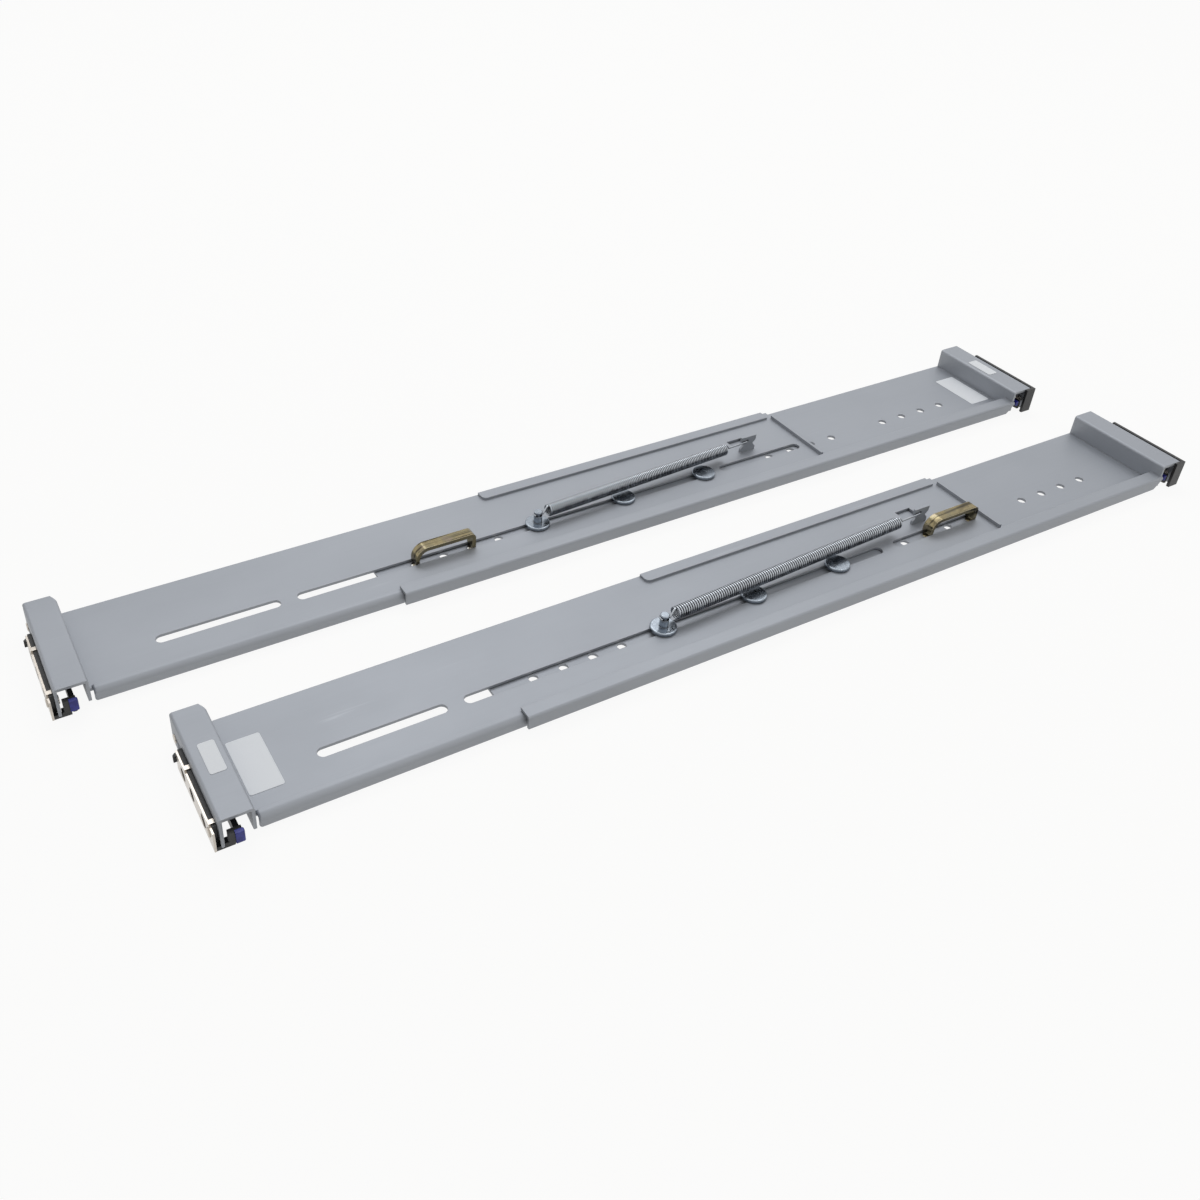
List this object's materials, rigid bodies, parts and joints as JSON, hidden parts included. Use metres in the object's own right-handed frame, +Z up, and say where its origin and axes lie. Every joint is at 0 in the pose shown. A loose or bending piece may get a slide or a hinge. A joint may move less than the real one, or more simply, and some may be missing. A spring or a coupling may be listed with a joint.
{
  "type": "pair of rack mounting rails",
  "caption": "Pair of telescoping rack rails with spring, retaining clip, and latched end brackets that take rack screws.",
  "frame": {"origin": "bottom centre of the pair, on the table that the latch covers rest on", "axes": "+X along the rails from the slotted front sections to the rear sections, +Y from the near rail to the far rail, +Z up out of the rails' outer faces"},
  "size_m": [0.658, 0.1802, 0.0176],
  "materials": {
    "rail_steel": "zinc-grey coated sheet, satin",
    "nickel_plate": "bright nickel plate, warm",
    "black_plastic": "black, semi-gloss",
    "blue_plastic": "blue touch point",
    "white_plastic": "slippery white",
    "zinc_steel": "zinc plated, bluish",
    "spring_steel": "drawn spring wire",
    "bronze_plate": "yellow-passivated strap, worn",
    "label_paper": "blank label film"
  },
  "bodies": {
    "near_rear_rail": {"near_rear_section": "rail_steel", "near_guide_rivets": "zinc_steel", "near_spring_post": "zinc_steel", "near_guide_pads": "white_plastic", "near_retaining_clip": "bronze_plate", "near_extension_spring": "spring_steel", "near_rear_latch_housing": "black_plastic", "near_rear_latch_cover": "nickel_plate", "near_rear_cover_rivets": "nickel_plate", "near_rear_pivot_pin": "zinc_steel", "near_rear_return_spring": "spring_steel"},
    "near_front_rail": {"near_front_section": "rail_steel", "near_front_latch_housing": "black_plastic", "near_front_latch_cover": "nickel_plate", "near_front_cover_rivets": "nickel_plate", "near_front_pivot_pin": "zinc_steel", "near_front_return_spring": "spring_steel", "near_bracket_label": "label_paper", "near_plate_label": "label_paper"},
    "near_front_lever": {"near_front_release_lever": "black_plastic", "near_front_touch_pad": "blue_plastic"},
    "near_rear_lever": {"near_rear_release_lever": "black_plastic", "near_rear_touch_pad": "blue_plastic"},
    "far_rear_rail": {"far_rear_section": "rail_steel", "far_guide_rivets": "zinc_steel", "far_spring_post": "zinc_steel", "far_guide_pads": "white_plastic", "far_retaining_clip": "bronze_plate", "far_extension_spring": "spring_steel", "far_rear_latch_housing": "black_plastic", "far_rear_latch_cover": "nickel_plate", "far_rear_cover_rivets": "nickel_plate", "far_rear_pivot_pin": "zinc_steel", "far_rear_return_spring": "spring_steel", "far_bracket_label": "label_paper", "far_plate_label": "label_paper"},
    "far_front_rail": {"far_front_section": "rail_steel", "far_front_latch_housing": "black_plastic", "far_front_latch_cover": "nickel_plate", "far_front_cover_rivets": "nickel_plate", "far_front_pivot_pin": "zinc_steel", "far_front_return_spring": "spring_steel"},
    "far_front_lever": {"far_front_release_lever": "black_plastic", "far_front_touch_pad": "blue_plastic"},
    "far_rear_lever": {"far_rear_release_lever": "black_plastic", "far_rear_touch_pad": "blue_plastic"}
  },
  "joints": [
    {"name": "far_rail_spacing", "type": "slide", "parent": "near_rear_rail", "child": "far_rear_rail", "axis": [0, 1, 0], "range_m": [-0.02, 0.344]},
    {"name": "near_extension", "type": "slide", "parent": "near_rear_rail", "child": "near_front_rail", "axis": [-1, 0, 0], "range_m": [-0.023, 0], "stiffness_N_per_m": 90, "springref_m": 0.042, "deforming": ["near_extension_spring"]},
    {"name": "far_extension", "type": "slide", "parent": "far_rear_rail", "child": "far_front_rail", "axis": [-1, 0, 0], "range_m": [-0.065, 0], "stiffness_N_per_m": 90, "springref_m": 0.012, "deforming": ["far_extension_spring"]},
    {"name": "near_front_lever_turn", "type": "hinge", "parent": "near_front_rail", "child": "near_front_lever", "pos_m": [-0.27542, -0.0504, 0.0059], "axis": [0, 0, -1], "range_deg": [0, 6.5], "stiffness_Nm_per_rad": 0.02, "springref_deg": -11.46},
    {"name": "near_rear_lever_turn", "type": "hinge", "parent": "near_rear_rail", "child": "near_rear_lever", "pos_m": [0.31742, -0.0504, 0.0059], "axis": [0, 0, 1], "range_deg": [0, 6.5], "stiffness_Nm_per_rad": 0.02, "springref_deg": -11.46},
    {"name": "far_front_lever_turn", "type": "hinge", "parent": "far_front_rail", "child": "far_front_lever", "pos_m": [-0.31742, 0.0556, 0.0059], "axis": [0, 0, -1], "range_deg": [0, 6.5], "stiffness_Nm_per_rad": 0.02, "springref_deg": -11.46},
    {"name": "far_rear_lever_turn", "type": "hinge", "parent": "far_rear_rail", "child": "far_rear_lever", "pos_m": [0.30508, 0.0556, 0.0059], "axis": [0, 0, 1], "range_deg": [0, 6.5], "stiffness_Nm_per_rad": 0.02, "springref_deg": -11.46}
  ]
}
